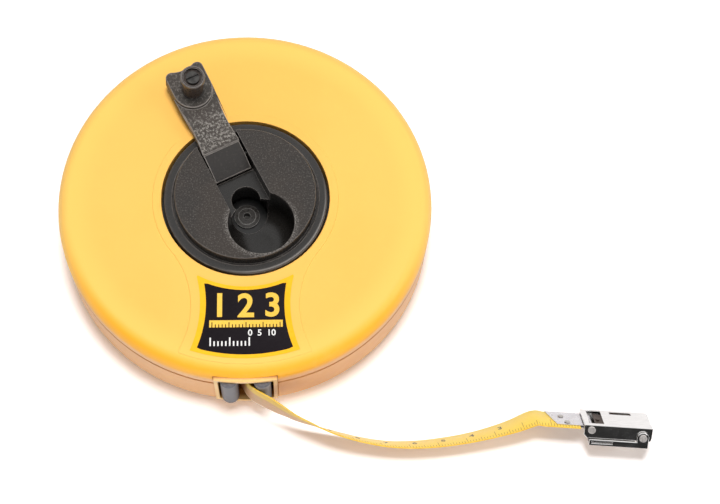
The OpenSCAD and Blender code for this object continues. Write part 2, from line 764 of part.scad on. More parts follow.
tip_half_gap = tape_t / 2 + 0.05;
barrel_r = hook_pin_r + tip_sheet;

module at_tip_rivets() {
    for (p = [[-9.8, 1.8], [-8, -2.6]]) translate([p.x, p.y, 0]) children();
}

module tip_plate() {
    color("#dcdce0") at_hook() difference() {
        union() {
            for (s = [0, 1]) mirror([0, 0, s]) translate([0, 0, tip_half_gap]) linear_extrude(tip_sheet)
                polygon([[-15, 5.7], [-11.6, -4.4], [-0.4, -4.4], [-0.4, 4.4], [-2.9, 5.7]]);
            rotate([90, 0, 0]) cylinder(r = barrel_r, h = 8.8, center = true);
        }
        rotate([90, 0, 0]) cylinder(r = hook_pin_r + run_play, h = 20, center = true);
        at_tip_rivets() cylinder(r = tip_rivet_r + 0.02, h = 5, center = true);
    }
}

module tip_rivets() {
    head = 0.25;
    half = tip_half_gap + tip_sheet + 0.02;
    color("#b4b4b8") at_hook() at_tip_rivets() {
        cylinder(r = tip_rivet_r, h = 2 * half + head, center = true);
        for (s = [0, 1]) mirror([0, 0, s]) translate([0, 0, half])
            cylinder(r = tip_rivet_r + 0.4, h = head);
    }
}

// Round pin across the hook with a head at each end
module cross_pin(half) {
    rotate([90, 0, 0]) cylinder(r = hook_pin_r, h = 2 * half, center = true);
    for (s = [-1, 1]) translate([0, s * (half + 0.2), 0]) rotate([90, 0, 0])
        cylinder(r = hook_head_r, h = 0.4, center = true);
}

module hook_pin() {
    color("#c8c8cc") at_hook() cross_pin(hook_w / 2 + 0.02);
}

module at_claw() {
    at_hook() translate([claw_out, 0, -claw_down]) children();
}

module claw_pin() {
    color("#c8c8cc") at_claw() cross_pin(hook_w / 2 + claw_gap + claw_t + 0.02);
}

module hook_body() {
    side_z = hook_up - hook_h;
    wall_end = hook_left + hook_len;
    color("#d6d6da") at_hook() difference() {
        translate([hook_left, -hook_w / 2, side_z]) cube([hook_len, hook_w, hook_h]);
        translate([hook_left - 1, -hook_w / 2 + hook_t, side_z - 1])
            cube([hook_len + 2, hook_w - 2 * hook_t, hook_h + 1 - hook_t]);
        translate([-0.6, -hook_w / 2 + 1.7, 0]) cube([4.9, hook_w - 2.6, 5]);
        translate([7.4, 3.7, 0]) cube([7.4, 1.7, 5]);
        translate([hook_left, 0, side_z]) rotate([0, 45, 0]) cube([1.8, 2 * hook_w, 1.8], center = true);
        difference() {
            translate([claw_out, -hook_w, side_z - 1]) cube([hook_len, 2 * hook_w, hook_h + 1 - hook_t]);
            translate([claw_out - 1, -hook_w, -claw_down])
                cube([wall_end - claw_out + 1, 2 * hook_w, hook_h]);
            translate([claw_out, 0, -claw_down]) rotate([90, 0, 0])
                cylinder(r = wall_end - claw_out, h = 3 * hook_w, center = true);
        }
        rotate([90, 0, 0]) cylinder(r = hook_pin_r + 0.02, h = 2 * hook_w, center = true);
        translate([claw_out, 0, -claw_down]) rotate([90, 0, 0])
            cylinder(r = hook_pin_r + 0.02, h = 2 * hook_w, center = true);
    }
}

// Leaf under the hook's top that keeps the claw shut, with its rivet in the window
module claw_spring() {
    leaf_z = hook_up - hook_t - 0.35;
    half = hook_w / 2 - hook_t - 0.4;
    color("#56534f") at_hook() {
        translate([1.5, -half, leaf_z]) cube([claw_out - 3.7, 2 * half, 0.3]);
        translate([2.7, 0, leaf_z + 0.3 - eps]) cylinder(r = 0.7, h = 0.4);
    }
}

// Folding claw: two ears on the pin, a floor with turned-up sides under the hook body
module hook_claw() {
    in_half = hook_w / 2 + claw_gap;
    out_half = in_half + claw_t;
    ear_r = claw_ear_r;
    low = claw_low + claw_down;
    wall_r = hook_left + hook_len - claw_out;
    floor_end = sqrt((wall_r + claw_gap) * (wall_r + claw_gap) - low * low);
    color("#cfcfd4") at_claw() difference() {
        union() {
            translate([-claw_out - 0.6, -out_half, low - claw_t])
                cube([claw_out + 0.6 - floor_end, 2 * out_half, claw_t]);
            for (s = [-1, 1]) translate([0, s * (in_half + claw_t / 2), 0]) {
                translate([-claw_out - 0.6, -claw_t / 2, low - claw_t])
                    cube([claw_out, claw_t, 2.1]);
                translate([-ear_r, -claw_t / 2, low - claw_t]) cube([2 * ear_r, claw_t, -low + claw_t]);
                rotate([90, 0, 0]) cylinder(r = ear_r, h = claw_t, center = true);
            }
        }
        for (s = [-1, 1]) translate([-claw_out + 0.4, s * out_half - 2, low + 0.05])
            cube([7, 4, 0.8]);
        rotate([90, 0, 0]) cylinder(r = hook_pin_r + run_play, h = 2 * hook_w, center = true);
    }
}

rear_case();
front_case();
case_screws();
label_plate();
mouth_frame();
roller_pins();
guide_roller_left();
guide_roller_right();
thrust_washer();
retaining_plug();
reel_hub();
reel_flange();
tape_coil();
tape_anchor_pin();
winding_disc();
disc_screws();
crank_hinge_pin();
crank_arm();
crank_knob();
knob_screw();
tape_strip();
tip_plate();
tip_rivets();
hook_pin();
hook_body();
claw_pin();
claw_spring();
hook_claw();
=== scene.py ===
import json
from math import atan2, cos, pi, radians, sin

import bmesh
import bpy
from mathutils import Matrix, Vector


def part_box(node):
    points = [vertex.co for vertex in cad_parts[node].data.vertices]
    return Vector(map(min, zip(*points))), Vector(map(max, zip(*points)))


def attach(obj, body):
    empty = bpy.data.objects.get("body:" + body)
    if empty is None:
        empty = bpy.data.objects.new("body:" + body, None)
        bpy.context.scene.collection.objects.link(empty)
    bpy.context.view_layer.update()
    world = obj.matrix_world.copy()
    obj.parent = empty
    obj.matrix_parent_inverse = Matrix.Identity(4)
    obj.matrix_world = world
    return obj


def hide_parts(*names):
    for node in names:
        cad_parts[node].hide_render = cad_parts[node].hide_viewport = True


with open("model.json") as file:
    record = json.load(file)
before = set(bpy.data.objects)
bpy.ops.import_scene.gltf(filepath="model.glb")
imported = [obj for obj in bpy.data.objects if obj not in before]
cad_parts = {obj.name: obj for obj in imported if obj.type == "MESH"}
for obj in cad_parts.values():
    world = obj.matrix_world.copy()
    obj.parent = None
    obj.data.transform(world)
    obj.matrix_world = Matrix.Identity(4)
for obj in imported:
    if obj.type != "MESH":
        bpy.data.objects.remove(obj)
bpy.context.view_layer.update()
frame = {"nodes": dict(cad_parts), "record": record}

nodes = frame["nodes"]
scene = bpy.context.scene
scene.view_settings.view_transform = "Standard"
mm, cm = 0.001, 0.01
bodyOf = {node: body for body, members in frame["record"]["behaviour"]["bodies"].items()
          for node in members}
print("frame loaded,", len(nodes), "nodes")


# Camera: high in front, looking down and leaning a little; place in millimetres

cameraSetup = {"place": (15.53, -208.26, 508.71), "forward": (0.0460, 0.3644, -0.9301),
               "roll": -6.235, "lens": 75, "sensor": 36, "near": 0.05, "far": 20}


def makeCamera(size):
    forward = Vector(size["forward"]).normalized()
    level = forward.cross(Vector((0, 0, 1))).normalized()
    upright = level.cross(forward)
    roll = radians(size["roll"])
    up = cos(roll) * upright + sin(roll) * level
    right = cos(roll) * level - sin(roll) * upright
    data = bpy.data.cameras.new("camera")
    data.lens, data.sensor_width = size["lens"], size["sensor"]
    data.clip_start, data.clip_end = size["near"], size["far"]
    camera = bpy.data.objects.new("camera", data)
    scene.collection.objects.link(camera)
    turn = Matrix((right, up, -forward)).transposed().to_4x4()
    camera.matrix_world = Matrix.Translation(Vector(size["place"]) * mm) @ turn
    scene.camera = camera


makeCamera(cameraSetup)
print("camera placed")


# Small helpers for materials: a node with its links and settings, and the usual mixes

def add(tree, kind, links=None, **settings):
    node = tree.nodes.new(kind)
    for key, value in settings.items():
        setattr(node, key, value)
    for key, value in (links or {}).items():
        if isinstance(value, bpy.types.NodeSocket):
            tree.links.new(value, node.inputs[key])
        else:
            node.inputs[key].default_value = value
    return node


def calc(tree, operation, a, b=0.0, c=0.0):
    return add(tree, "ShaderNodeMath", {0: a, 1: b, 2: c}, operation=operation).outputs[0]


def product(tree, first, *others):
    for other in others:
        first = calc(tree, "MULTIPLY", first, other)
    return first


def ease(tree, value, low, high, start=0.0, end=1.0):
    return add(tree, "ShaderNodeMapRange", {"Value": value, "From Min": low, "From Max": high,
               "To Min": start, "To Max": end}, interpolation_type="SMOOTHSTEP").outputs[0]


def blendColour(tree, amount, a, b):
    def full(colour):
        return colour if isinstance(colour, bpy.types.NodeSocket) else (*colour, 1)
    return add(tree, "ShaderNodeMix", {0: amount, 6: full(a), 7: full(b)},
               data_type="RGBA").outputs[2]


def tint(tree, colour, towards, *amounts):
    # Blend towards a colour by the product of the amounts
    return blendColour(tree, product(tree, *amounts), colour, towards)


def noise(tree, spot, scale, detail=3.0, rough=0.5, stretch=None):
    if stretch:
        spot = add(tree, "ShaderNodeMapping", {"Vector": spot, "Scale": stretch}).outputs[0]
    return add(tree, "ShaderNodeTexNoise", {"Vector": spot, "Scale": scale, "Detail": detail,
               "Roughness": rough}).outputs["Fac"]


def split(tree, spot):
    return add(tree, "ShaderNodeSeparateXYZ", {0: spot}).outputs


def fromAxis(tree, spot, centre=(0, 0)):
    # Distance from an upright axis, whose place is in millimetres
    x, y = split(tree, spot)[:2]
    flat = add(tree, "ShaderNodeCombineXYZ", {0: x, 1: y}).outputs[0]
    return add(tree, "ShaderNodeVectorMath", {0: flat, 1: (centre[0] * mm, centre[1] * mm, 0)},
               operation="DISTANCE").outputs[1]


def startLook(name):
    look = bpy.data.materials.new(name)
    look.use_nodes = True
    tree = look.node_tree
    spot = add(tree, "ShaderNodeTexCoord").outputs["Object"]
    return look, tree, tree.nodes["Principled BSDF"], spot


def finishLook(tree, shader, colour, rough, height, depth, strength):
    tree.links.new(colour, shader.inputs["Base Color"])
    tree.links.new(rough, shader.inputs["Roughness"])
    bump = add(tree, "ShaderNodeBump", {"Height": height, "Distance": depth,
               "Strength": strength})
    tree.links.new(bump.outputs[0], shader.inputs["Normal"])


def shadeInside(tree, spot, colour, size):
    # Painted shade: a deeper, browner colour on what lies behind the mouth's face, standing in
    # for the shadow inside the case
    return tint(tree, colour, size["deep"], ease(tree, split(tree, spot)[1], *size["inside"]))


plasticBase = {"cloud": 30, "scuff": 260, "scuffing": 0.25, "dulled": 0.12, "fleck": 0.3,
               "depth": 0.03, "bump": 0.4, "gloss": 0.5}


def mixedPlastic(size):
    # Coloured plastic: cloudy colour, moulded grain, faint scuffs that are paler and duller
    size = {**plasticBase, **size}
    look, tree, shader, spot = startLook(size["name"])
    cloud = noise(tree, spot, size["cloud"], 2)
    grain = noise(tree, spot, size["grain"], 4, 0.6)
    scuff = ease(tree, noise(tree, spot, size["scuff"], 5, 0.7, (1, 5, 1)), 0.6, 0.8)
    colour = blendColour(tree, ease(tree, cloud, 0.3, 0.7), size["colour"], size["shade"])
    colour = tint(tree, colour, size["light"], ease(tree, grain, 0.35, 0.7, 0, size["fleck"]))
    colour = tint(tree, colour, size["light"], scuff, size["scuffing"])
    # Painted shade behind the mouth's face, for finishes that give an inside band
    if "inside" in size:
        colour = shadeInside(tree, spot, colour, size)
    rough = calc(tree, "ADD", ease(tree, grain, 0.3, 0.7, *size["rough"]),
                 product(tree, scuff, size["dulled"]))
    finishLook(tree, shader, colour, rough, grain, size["depth"] * mm, size["bump"])
    shader.inputs["Specular IOR Level"].default_value = size["gloss"]
    return look


metalBase = {"cloud": 220, "along": (1, 14, 1), "scratched": 0.12, "depth": 0.01, "bump": 0.25,
             "metallic": 1}


def metal(size):
    # Metal: brushed or polished, with cloudy roughness and fine scratches
    size = {**metalBase, **size}
    look, tree, shader, spot = startLook(size["name"])
    brush = noise(tree, spot, size["brush"], 4, 0.6, size["along"])
    cloud = noise(tree, spot, size["cloud"], 3)
    colour = blendColour(tree, ease(tree, brush, 0.35, 0.7), size["colour"], size["shade"])
    rough = calc(tree, "ADD", ease(tree, cloud, 0.3, 0.7, *size["rough"]),
                 ease(tree, brush, 0.55, 0.8, 0, size["scratched"]))
    finishLook(tree, shader, colour, rough, brush, size["depth"] * mm, size["bump"])
    shader.inputs["Metallic"].default_value = size["metallic"]
    return look


# Bands are in metres: where a shade starts and where it is full. Amounts run from 0 to 1, and
# the depth of a finish is in millimetres

caseFinish = {"yellow": (0.95, 0.525, 0.115), "warm": (0.94, 0.505, 0.105),
              "edge": (0.96, 0.565, 0.125), "round": (0.93, 0.43, 0.025),
              "wall": (0.80, 0.41, 0.165), "foot": (0.50, 0.20, 0.06),
              "seam": (0.42, 0.17, 0.05), "scuffed": (0.97, 0.74, 0.3),
              "cloudScale": 24, "speckScale": 330, "grainScale": 2600, "scuffScale": 150,
              "rubScale": 120, "edgeBand": (0.051, 0.060), "roundBand": (0.0597, 0.0636),
              "roundAhead": (-0.1, -0.8), "outerBand": (0.0607, 0.0627),
              "wallBand": (0.0261, 0.0235), "footShadeBand": (0.0030, 0.0008),
              "seamHeight": 0.0206, "seamBand": (0.0014, 0.0006),
              "edgeAmount": 0.85, "footShadeAmount": 0.6, "rubAmount": 0.22, "seamAmount": 0.2,
              "scuffAmount": 0.12, "rough": (0.42, 0.5), "dulled": 0.15, "speckShare": 0.5,
              "depth": 0.02, "bump": 0.3}


def caseLook(size):
    # Satin yellow: painted shade makes the rounding in front warmer and deeper orange, painted
    # shade and a painted floor reflection make the sides browner, painted shade darkens the foot,
    # and the seam is dirty
    look, tree, shader, spot = startLook("caseYellow")
    away = fromAxis(tree, spot)
    y, level = split(tree, spot)[1:]
    cloud = noise(tree, spot, size["cloudScale"], 3)
    speck = noise(tree, spot, size["speckScale"], 5, 0.65)
    grain = noise(tree, spot, size["grainScale"], 4, 0.6)
    scuff = ease(tree, noise(tree, spot, size["scuffScale"], 6, 0.7, (4, 1, 1)), 0.64, 0.8)
    colour = blendColour(tree, ease(tree, cloud, 0.35, 0.65), size["yellow"], size["warm"])
    colour = tint(tree, colour, size["edge"], ease(tree, speck, 0.45, 0.75, 0, 0.2))
    colour = tint(tree, colour, size["edge"], ease(tree, away, *size["edgeBand"]),
                  size["edgeAmount"])
    # Painted shade: the rounding in front, which faces away from the light, turns deeper orange;
    # the same mask also takes rubbing wear below
    corner = product(tree, ease(tree, away, *size["roundBand"]),
                     ease(tree, calc(tree, "DIVIDE", y, away), *size["roundAhead"]))
    colour = tint(tree, colour, size["round"], corner)
    # Painted shade and painted floor reflection: browner, pinker colour on the case's sides below
    # the top
    outer = ease(tree, away, *size["outerBand"])
    colour = tint(tree, colour, size["wall"], ease(tree, level, *size["wallBand"]), outer)
    # Painted shade: darker towards the foot, where the case meets the floor
    colour = tint(tree, colour, size["foot"], ease(tree, level, *size["footShadeBand"]), outer,
                  size["footShadeAmount"])
    rub = ease(tree, noise(tree, spot, size["rubScale"], 6, 0.7), 0.52, 0.72)
    colour = tint(tree, colour, size["yellow"], corner, rub, size["rubAmount"])
    fromSeam = calc(tree, "ABSOLUTE", calc(tree, "SUBTRACT", level, size["seamHeight"]))
    colour = tint(tree, colour, size["seam"], ease(tree, fromSeam, *size["seamBand"]),
                  size["seamAmount"])
    colour = tint(tree, colour, size["scuffed"], scuff, size["scuffAmount"])
    rough = calc(tree, "ADD", ease(tree, speck, 0.3, 0.7, *size["rough"]),
                 product(tree, scuff, size["dulled"]))
    height = calc(tree, "ADD", grain, product(tree, speck, size["speckShare"]))
    finishLook(tree, shader, colour, rough, height, size["depth"] * mm, size["bump"])
    return look


discFinish = {"black": (0.018, 0.015, 0.013), "brown": (0.026, 0.020, 0.016),
              "fleck": (0.12, 0.11, 0.10), "ring": (0.016, 0.015, 0.014),
              "foot": (0.008, 0.007, 0.006), "hollow": (0.010, 0.009, 0.008),
              "rimRubAndHighlight": (0.10, 0.088, 0.078), "worn": (0.28, 0.26, 0.24),
              "grainScale": 1900, "coarseScale": 1700, "cloudScale": 60,
              "ringBand": (0.0245, 0.0248), "footShadeIn": (0.0244, 0.0245),
              "footShadeOut": (0.0256, 0.0250), "hollowBand": (0.0340, 0.0322),
              "rimRubAndHighlightBand": (0.0271, 0.0283), "shineSide": (0.016, 0.038),
              "shineBand": (0.0272, 0.0279), "bowl": (5.43, -11.04),
              "lipBand": (0.0136, 0.0114), "lipSide": (0.0, -0.008),
              "fleckAmount": 0.95, "ringAmount": 0.8, "footShadeAmount": 0.8, "hollowShadeAmount": 0.9,
              "rubAmount": 0.5, "shineAmount": 0.7, "lipAmount": 0.8,
              "rough": (0.42, 0.62), "ringSmooth": 0.16, "hollowSmooth": 0.2,
              "coarseShare": 0.6, "flattened": 0.8, "depth": 0.09, "bump": 0.7}


def discLook(size):
    # Coarse grain on the raised middle, smooth ring around it; painted shade in the groove at its
    # foot and in the hollows; paler outer edge of the ring and lip of the bowl, partly from
    # rubbing and partly painted highlight, and a painted highlight on the lower right of the
    # outer ring
    look, tree, shader, spot = startLook("discBlack")
    away = fromAxis(tree, spot)
    x, y, level = split(tree, spot)
    grain = noise(tree, spot, size["grainScale"], 5, 0.75)
    coarse = add(tree, "ShaderNodeTexVoronoi", {"Vector": spot,
                 "Scale": size["coarseScale"]}).outputs[0]
    cloud = noise(tree, spot, size["cloudScale"], 4, 0.6)
    ring = ease(tree, away, *size["ringBand"])
    hollow = product(tree, ease(tree, level, *size["hollowBand"]),
                     calc(tree, "SUBTRACT", 1.0, ring))
    colour = blendColour(tree, ease(tree, cloud, 0.35, 0.65), size["black"], size["brown"])
    colour = tint(tree, colour, size["fleck"], ease(tree, grain, 0.5, 0.68),
                  size["fleckAmount"])
    colour = tint(tree, colour, size["ring"], ring, size["ringAmount"])
    # Painted shade in the groove at the foot of the raised middle
    colour = tint(tree, colour, size["foot"], ease(tree, away, *size["footShadeIn"]),
                  ease(tree, away, *size["footShadeOut"]), size["footShadeAmount"])
    # Painted shade: darker in the hollows below the top of the raised middle
    colour = tint(tree, colour, size["hollow"], hollow, size["hollowShadeAmount"])
    # Paler outer edge of the ring: partly rubbing wear, partly a painted highlight
    colour = tint(tree, colour, size["rimRubAndHighlight"], ease(tree, away, *size["rimRubAndHighlightBand"]),
                  ease(tree, cloud, 0.4, 0.6), size["rubAmount"])
    # Painted highlight on the lower right of the outer ring, in the pale worn colour
    colour = tint(tree, colour, size["worn"],
                  ease(tree, calc(tree, "SUBTRACT", x, y), *size["shineSide"]),
                  ease(tree, away, *size["shineBand"]), size["shineAmount"])
    # Pale specks on the bowl's front lip: partly wear, partly painted highlight, using the worn
    # colour
    fromBowl = fromAxis(tree, spot, size["bowl"])
    colour = tint(tree, colour, size["worn"], ease(tree, fromBowl, *size["lipBand"]),
                  ease(tree, y, *size["lipSide"]), ease(tree, grain, 0.46, 0.6),
                  calc(tree, "SUBTRACT", 1.0, hollow), size["lipAmount"])
    rough = ease(tree, grain, 0.3, 0.7, *size["rough"])
    rough = calc(tree, "SUBTRACT", rough, product(tree, ring, size["ringSmooth"]))
    rough = calc(tree, "SUBTRACT", rough, product(tree, hollow, size["hollowSmooth"]))
    smooth = product(tree, calc(tree, "MAXIMUM", ring, hollow), size["flattened"])
    height = product(tree, calc(tree, "ADD", product(tree, coarse, size["coarseShare"]), grain),
                     calc(tree, "SUBTRACT", 1.0, smooth))
    finishLook(tree, shader, colour, rough, height, size["depth"] * mm, size["bump"])
    return look


armFinish = {"grey": (0.030, 0.026, 0.022), "brown": (0.045, 0.036, 0.031),
             "light": (0.27, 0.25, 0.225), "dark": (0.014, 0.012, 0.011),
             "grainScale": 1100, "cloudScale": 50, "hinge": (-6.45, 13.1), "turn": 26.2,
             "usedFrom": (0.0040, 0.0075), "usedTo": (0.021, 0.012),
             "leafShadeBand": (0.0049, 0.0046), "grainAmount": 0.55, "usedAmount": 0.8,
             "leafShadeAmount": 0.85, "rough": (0.4, 0.66), "depth": 0.08, "bump": 0.6}


def armLook(size):
    # Coarse grain, worn by rubbing: pale flecks thicken where thumbs push the arm shut, and
    # painted shade darkens the leaf by the hinge
    look, tree, shader, spot = startLook("armGrey")
    grain = noise(tree, spot, size["grainScale"], 5, 0.75)
    blot = noise(tree, spot, size["grainScale"], 5, 0.8)
    cloud = noise(tree, spot, size["cloudScale"], 3)
    x, y = (value * mm for value in size["hinge"])
    moved = add(tree, "ShaderNodeMapping", {"Vector": spot, "Location": (-x, -y, 0)}).outputs[0]
    along = add(tree, "ShaderNodeMapping", {"Vector": moved,
                "Rotation": (0, 0, radians(-size["turn"]))}).outputs[0]
    out = split(tree, along)[1]
    fleck = calc(tree, "ADD", ease(tree, grain, 0.48, 0.68, 0, size["grainAmount"]),
                 product(tree, ease(tree, out, *size["usedFrom"]),
                         ease(tree, out, *size["usedTo"]),
                         ease(tree, blot, 0.46, 0.62, 0, size["usedAmount"])))
    colour = blendColour(tree, ease(tree, cloud, 0.3, 0.7), size["grey"], size["brown"])
    colour = tint(tree, colour, size["light"], calc(tree, "MINIMUM", fleck, 1.0))
    # Painted shade: the leaf by the hinge, under the arm's step, is darkened
    colour = tint(tree, colour, size["dark"], ease(tree, out, *size["leafShadeBand"]),
                  size["leafShadeAmount"])
    rough = ease(tree, grain, 0.3, 0.7, *size["rough"])
    finishLook(tree, shader, colour, rough, calc(tree, "ADD", grain, blot), size["depth"] * mm,
               size["bump"])
    return look


# Plain finishes: colour, cloudy second colour, light flecks, and the grain's fineness

plastics = {
    # inside and deep: painted shade on the frame behind the mouth's face
    "frame": {"name": "frameYellow", "colour": (0.86, 0.53, 0.2), "shade": (0.83, 0.47, 0.16),
              "light": (0.93, 0.68, 0.36), "grain": 1500, "rough": (0.3, 0.45),
              "inside": (-0.0652, -0.0635), "deep": (0.42, 0.14, 0.02)},
    # Edge finishes go on the rounded edges: paler from rubbing wear and as painted highlights
    "armEdgeRubAndHighlight": {"name": "armEdgeRubAndHighlight", "colour": (0.2, 0.18, 0.165), "shade": (0.12, 0.108, 0.098),
                "light": (0.32, 0.29, 0.26), "grain": 900, "rough": (0.3, 0.5)},
    "discEdgeRubAndHighlight": {"name": "discEdgeRubAndHighlight", "colour": (0.1, 0.09, 0.082), "shade": (0.05, 0.043, 0.04),
                 "light": (0.2, 0.18, 0.165), "grain": 800, "rough": (0.26, 0.45)},
    "knob": {"name": "knobBrown", "colour": (0.022, 0.016, 0.013), "shade": (0.034, 0.022, 0.017),
             "light": (0.11, 0.09, 0.08), "grain": 1300, "rough": (0.25, 0.42), "fleck": 0.2},
    "knobEdgeRubAndHighlight": {"name": "knobEdgeRubAndHighlight", "colour": (0.17, 0.155, 0.145), "shade": (0.1, 0.09, 0.085),
                 "light": (0.25, 0.23, 0.21), "grain": 900, "rough": (0.22, 0.4)},
    # inside and deep: painted shade on the roller behind the mouth's face
    "roller": {"name": "rollerGrey", "colour": (0.105, 0.1, 0.11), "shade": (0.08, 0.075, 0.085),
               "light": (0.26, 0.255, 0.27), "grain": 1200, "rough": (0.35, 0.5),
               "inside": (-0.0612, -0.0585), "deep": (0.012, 0.01, 0.01)},
    "reel": {"name": "reelBlack", "colour": (0.02, 0.02, 0.02), "shade": (0.03, 0.028, 0.026),
             "light": (0.06, 0.06, 0.06), "grain": 900, "rough": (0.35, 0.5)},
    "washer": {"name": "washerWhite", "colour": (0.7, 0.7, 0.66), "shade": (0.64, 0.63, 0.58),
               "light": (0.8, 0.8, 0.78), "grain": 900, "rough": (0.3, 0.45)},
    "plug": {"name": "plugBlack", "colour": (0.022, 0.02, 0.018), "shade": (0.032, 0.029, 0.026),
             "light": (0.09, 0.085, 0.08), "grain": 900, "rough": (0.25, 0.42)},
    "plugEdgeRubAndHighlight": {"name": "plugEdgeRubAndHighlight", "colour": (0.24, 0.23, 0.22), "shade": (0.14, 0.13, 0.12),
                 "light": (0.28, 0.27, 0.25), "grain": 900, "rough": (0.25, 0.42)},
    "gold": {"name": "labelGold", "colour": (0.93, 0.5, 0.02), "shade": (0.9, 0.46, 0.016),
             "light": (0.95, 0.56, 0.05), "grain": 700, "rough": (0.3, 0.42), "bump": 0.1,
             "gloss": 0.15},
    "black": {"name": "labelBlack", "colour": (0.009, 0.007, 0.009),
              "shade": (0.014, 0.011, 0.013), "light": (0.05, 0.045, 0.045), "grain": 900,
              "rough": (0.3, 0.42), "bump": 0.1, "fleck": 0.05, "scuff": 160, "scuffing": 0.5,
              "gloss": 0.06},
    "inkGold": {"name": "inkGold", "colour": (0.88, 0.55, 0.075), "shade": (0.84, 0.5, 0.06),
                "light": (0.92, 0.66, 0.2), "grain": 1500, "rough": (0.3, 0.4), "bump": 0.1,
                "gloss": 0.15},
    "inkWhite": {"name": "inkWhite", "colour": (0.82, 0.81, 0.79), "shade": (0.74, 0.73, 0.7),
                 "light": (0.9, 0.9, 0.88), "grain": 1500, "rough": (0.3, 0.4), "bump": 0.1},
    "inkDark": {"name": "inkDark", "colour": (0.05, 0.03, 0.02), "shade": (0.09, 0.05, 0.03),
                "light": (0.2, 0.12, 0.05), "grain": 1500, "rough": (0.35, 0.5), "bump": 0.1},
}
metals = {
    "chrome": {"name": "hookChrome", "colour": (0.8, 0.79, 0.78), "shade": (0.7, 0.69, 0.68),
               "brush": 300, "rough": (0.07, 0.16), "bump": 0.12},
    "tip": {"name": "tipMetal", "colour": (0.68, 0.67, 0.69), "shade": (0.58, 0.56, 0.58),
            "brush": 260, "rough": (0.2, 0.32), "metallic": 0.8, "bump": 0.1},
    "pin": {"name": "pinSteel", "colour": (0.7, 0.66, 0.63), "shade": (0.5, 0.46, 0.44),
            "brush": 500, "rough": (0.2, 0.34), "along": (1, 1, 1), "metallic": 0.6},
    "screw": {"name": "screwSteel", "colour": (0.52, 0.52, 0.53), "shade": (0.4, 0.4, 0.42),
              "brush": 400, "rough": (0.24, 0.4), "along": (1, 1, 1)},
    "rivet": {"name": "rivetMetal", "colour": (0.5, 0.48, 0.46), "shade": (0.32, 0.3, 0.28),
              "brush": 500, "rough": (0.2, 0.36), "along": (1, 1, 1)},
    "darkScrew": {"name": "darkScrew", "colour": (0.11, 0.105, 0.1),
                  "shade": (0.06, 0.058, 0.056), "brush": 500, "rough": (0.3, 0.5),
                  "along": (1, 1, 1)},
    "spring": {"name": "springSteel", "colour": (0.14, 0.11, 0.09), "shade": (0.07, 0.05, 0.045),
               "brush": 400, "rough": (0.25, 0.45)},
}
looks = {"case": caseLook(caseFinish), "disc": discLook(discFinish), "arm": armLook(armFinish)}
looks.update((key, mixedPlastic(size)) for key, size in plastics.items())
looks.update((key, metal(size)) for key, size in metals.items())
print("finishes made:", len(looks))


# Free tape: the route of its middle in millimetres and the lean of its width in degrees, as in
# the part's source

tapeRoute = {
    "points": [(-25.3, -51.9, 16.4, 90), (-18, -55.2, 16.4, 90), (-11, -57.6, 16.4, 90),
               (-6.5, -58.9, 16.5, 89), (-3.2, -60.4, 16.6, 87.5), (-1, -62.7, 16.6, 86.5),
               (0.7, -65.2, 16.6, 85.5), (2.7, -67.1, 16.5, 85), (5.6, -68.8, 16.2, 85),
               (8.2, -70.2, 15.8, 86), (10.9, -71.7, 15.2, 88), (13.6, -73.1, 14.5, 92),
               (17.2, -74.8, 13.5, 96.5), (21.9, -76.5, 12.2, 101), (27, -78.2, 10.8, 107),
               (33.4, -79.9, 9.2, 110.3), (40.8, -81.4, 7.7, 111.8), (49, -82.4, 6.4, 113.7),
               (58, -82.5, 5.8, 115.8), (67, -81.8, 5.7, 117.6), (76.2, -80.5, 6, 119),
               (84.5, -78.8, 6.9, 121.4), (91.5, -77, 8, 124.8)],
    "hookAt": (117.75, -76.3, 9.6), "hookHead": -4.6, "hookRoll": -50.6,
    "straight": (-19.2, -15.4, -9.5, -3.6),
    "width": 12.0, "thickness": 0.4, "edge": 0.1, "steps": 9, "sharp": 50,
    "exit": (-1, -62.7, 16.6),
}


def tapeFrames(size):
    # Middle, width and thickness directions at close steps of a Catmull-Rom curve
    head = radians(size["hookHead"])
    route = list(size["points"])
    for x in size["straight"]:
        at = size["hookAt"]
        route.append((at[0] + x * cos(head), at[1] + x * sin(head), at[2],
                      180 + size["hookRoll"]))
    route = [Vector(point) for point in route]

    def knot(i):
        return route[max(0, min(len(route) - 1, i))]

    line = []
    for i in range(len(route) - 1):
        for k in range(size["steps"]):
            t = k / size["steps"]
            p = [knot(i - 1), knot(i), knot(i + 1), knot(i + 2)]
            line.append(0.5 * (2 * p[1] + (p[2] - p[0]) * t
                               + (2 * p[0] - 5 * p[1] + 4 * p[2] - p[3]) * t * t
                               + (3 * p[1] - 3 * p[2] + p[3] - p[0]) * t ** 3))
    line.append(route[-1])
    frames, gone = [], 0.0
    for i, q in enumerate(line):
        here = Vector(q[:3])
        ahead = Vector(line[min(i + 1, len(line) - 1)][:3]) - Vector(line[max(i - 1, 0)][:3])
        ahead.normalize()
        across = Vector((-ahead.y, ahead.x, 0)).normalized()
        up = ahead.cross(across)
        lean = radians(q[3])
        wide = across * cos(lean) + up * sin(lean)
        thick = across * sin(lean) - up * cos(lean)
        if i:
            gone += (here - Vector(line[i - 1][:3])).length
        frames.append((here * mm, wide, thick, gone * mm))
    return frames


def printedLines(tree, along, across, size):
    # A line at each millimetre, longer at half and whole centimetres
    def near(steps, reach):
        swing = calc(tree, "PINGPONG", product(tree, along, steps), 0.5)
        return calc(tree, "LESS_THAN", swing, reach)
    more = calc(tree, "ADD", product(tree, near(2.0, size["halfLine"]), size["halfMore"]),
                product(tree, near(1.0, size["wholeLine"]), size["wholeMore"]))
    return product(tree, near(10.0, size["line"]),
                   calc(tree, "LESS_THAN", across, calc(tree, "ADD", more, size["short"])))


